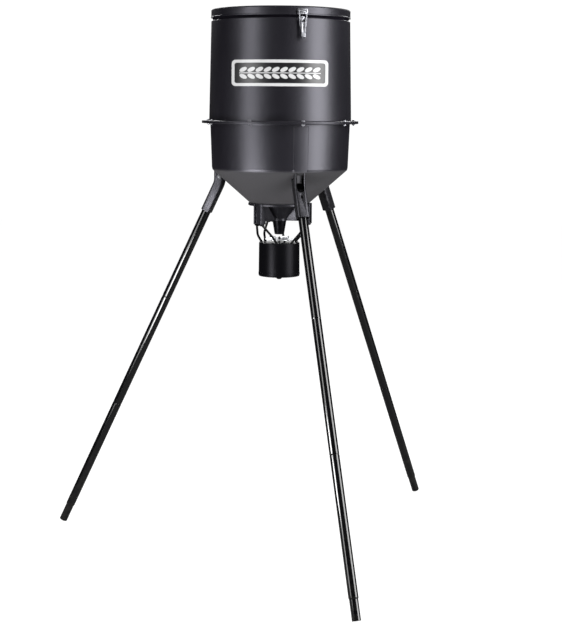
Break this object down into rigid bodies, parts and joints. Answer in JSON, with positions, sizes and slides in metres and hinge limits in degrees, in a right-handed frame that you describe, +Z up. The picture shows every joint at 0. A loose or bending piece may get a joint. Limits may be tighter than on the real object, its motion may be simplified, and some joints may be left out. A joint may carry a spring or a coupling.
{
  "type": "spin cast feeder",
  "caption": "Free-standing barrel feeder on a tripod: lidded hopper and cone feed a battery driven spinner plate above a cylindrical power unit.",
  "frame": {"origin": "on the ground, at the centre of the footprint's bounding rectangle; the hopper's axis stands 122.5 mm along +X and 92.4 mm along +Y from it", "axes": "+Z up along the hopper's axis, the label faces -Y, +X is to the right as the label is read"},
  "size_m": [1.4054, 1.4334, 1.885],
  "materials": {
    "barrel_plastic": "fine textured moulded polyethylene",
    "cone_plastic": "fine textured moulded polyethylene, duller than the barrel",
    "gasket_rubber": "matt foam rubber",
    "label_film": "satin printed film",
    "zinc": "bright zinc plate",
    "dark_steel": "dull steel",
    "bracket_paint": "textured black powder coat",
    "leg_paint": "gloss black paint",
    "unit_plastic": "satin black moulded plastic",
    "galvanised": "galvanised sheet",
    "battery_case": "moulded battery case",
    "timer_case": "moulded case",
    "display_glass": "clear display window",
    "button_rubber": "moulded rubber",
    "cable_sheath": "insulated wire"
  },
  "bodies": {
    "stand": {"upper_barrel": "barrel_plastic", "lower_barrel": "cone_plastic", "front_label": "label_film", "flange_bolt_1": "zinc", "flange_bolt_2": "zinc", "flange_bolt_3": "zinc", "flange_bolt_4": "zinc", "flange_bolt_5": "zinc", "flange_bolt_6": "zinc", "flange_bolt_7": "zinc", "flange_bolt_8": "zinc", "flange_bolt_9": "zinc", "front_latch_base": "zinc", "front_latch_pin": "dark_steel", "rear_latch_base": "zinc", "rear_latch_pin": "dark_steel", "leg_bracket_1": "bracket_paint", "bracket_bolt_1": "dark_steel", "leg_bracket_2": "bracket_paint", "bracket_bolt_2": "dark_steel", "leg_bracket_3": "bracket_paint", "bracket_bolt_3": "dark_steel", "leg_upper_1": "leg_paint", "leg_middle_1": "leg_paint", "leg_lower_1": "leg_paint", "leg_upper_2": "leg_paint", "leg_middle_2": "leg_paint", "leg_lower_2": "leg_paint", "leg_upper_3": "leg_paint", "leg_middle_3": "leg_paint", "leg_lower_3": "leg_paint", "outlet_collar": "unit_plastic", "outlet_spout": "unit_plastic", "hanger_arm_1": "bracket_paint", "hanger_arm_2": "bracket_paint", "hanger_arm_3": "bracket_paint", "unit_housing": "unit_plastic", "drive_motor": "dark_steel", "battery": "battery_case", "timer_module": "timer_case", "display_lens": "display_glass", "motor_lead": "cable_sheath"},
    "lid": {"lid": "barrel_plastic", "lid_gasket": "gasket_rubber", "front_latch_strike": "zinc", "rear_latch_strike": "zinc"},
    "front_lever": {"front_latch_lever": "zinc"},
    "front_bail": {"front_latch_bail": "zinc"},
    "rear_lever": {"rear_latch_lever": "zinc"},
    "rear_bail": {"rear_latch_bail": "zinc"},
    "spinner": {"motor_shaft": "dark_steel", "spinner_plate": "galvanised", "spinner_nut": "zinc"},
    "bottom_cap": {"bottom_cap": "unit_plastic"},
    "cap_knob": {"cap_knob": "unit_plastic"},
    "button_set": {"button_set": "button_rubber"},
    "button_mode": {"button_mode": "button_rubber"},
    "button_test": {"button_test": "button_rubber"}
  },
  "joints": [
    {"name": "lid_lift", "type": "slide", "parent": "stand", "child": "lid", "axis": [0, 0, 1], "range_m": [0, 0.25]},
    {"name": "front_lever_swing", "type": "hinge", "parent": "stand", "child": "front_lever", "pos_m": [0.19568, -0.14453, 1.837], "axis": [-0.9555, -0.295, 0], "range_deg": [0, 150]},
    {"name": "front_bail_turn", "type": "hinge", "parent": "front_lever", "child": "front_bail", "pos_m": [0.19553, -0.14406, 1.817], "axis": [-0.9555, -0.295, 0], "range_deg": [-166, 0]},
    {"name": "rear_lever_swing", "type": "hinge", "parent": "stand", "child": "rear_lever", "pos_m": [0.04934, 0.32938, 1.837], "axis": [0.9555, 0.295, 0], "range_deg": [0, 150]},
    {"name": "rear_bail_turn", "type": "hinge", "parent": "rear_lever", "child": "rear_bail", "pos_m": [0.04948, 0.32891, 1.817], "axis": [0.9555, 0.295, 0], "range_deg": [-166, 0]},
    {"name": "spinner_spin", "type": "hinge", "parent": "stand", "child": "spinner", "pos_m": [0.12251, 0.09242, 1.097], "axis": [0, 0, 1], "continuous": true},
    {"name": "cap_drop", "type": "slide", "parent": "stand", "child": "bottom_cap", "axis": [0, 0, -1], "range_m": [0, 0.09]},
    {"name": "knob_turn", "type": "hinge", "parent": "bottom_cap", "child": "cap_knob", "pos_m": [0.12251, 0.09242, 0.961], "axis": [0, 0, 1], "range_deg": [0, 90]},
    {"name": "set_press", "type": "slide", "parent": "stand", "child": "button_set", "axis": [0, 0, 1], "range_m": [0, 0.001]},
    {"name": "mode_press", "type": "slide", "parent": "stand", "child": "button_mode", "axis": [0, 0, 1], "range_m": [0, 0.001]},
    {"name": "test_press", "type": "slide", "parent": "stand", "child": "button_test", "axis": [0, 0, 1], "range_m": [0, 0.001]}
  ],
  "couplings": [
    {"joint": "front_bail_turn", "follows": "front_lever_swing", "ratio": -1.1},
    {"joint": "rear_bail_turn", "follows": "rear_lever_swing", "ratio": -1.1}
  ]
}
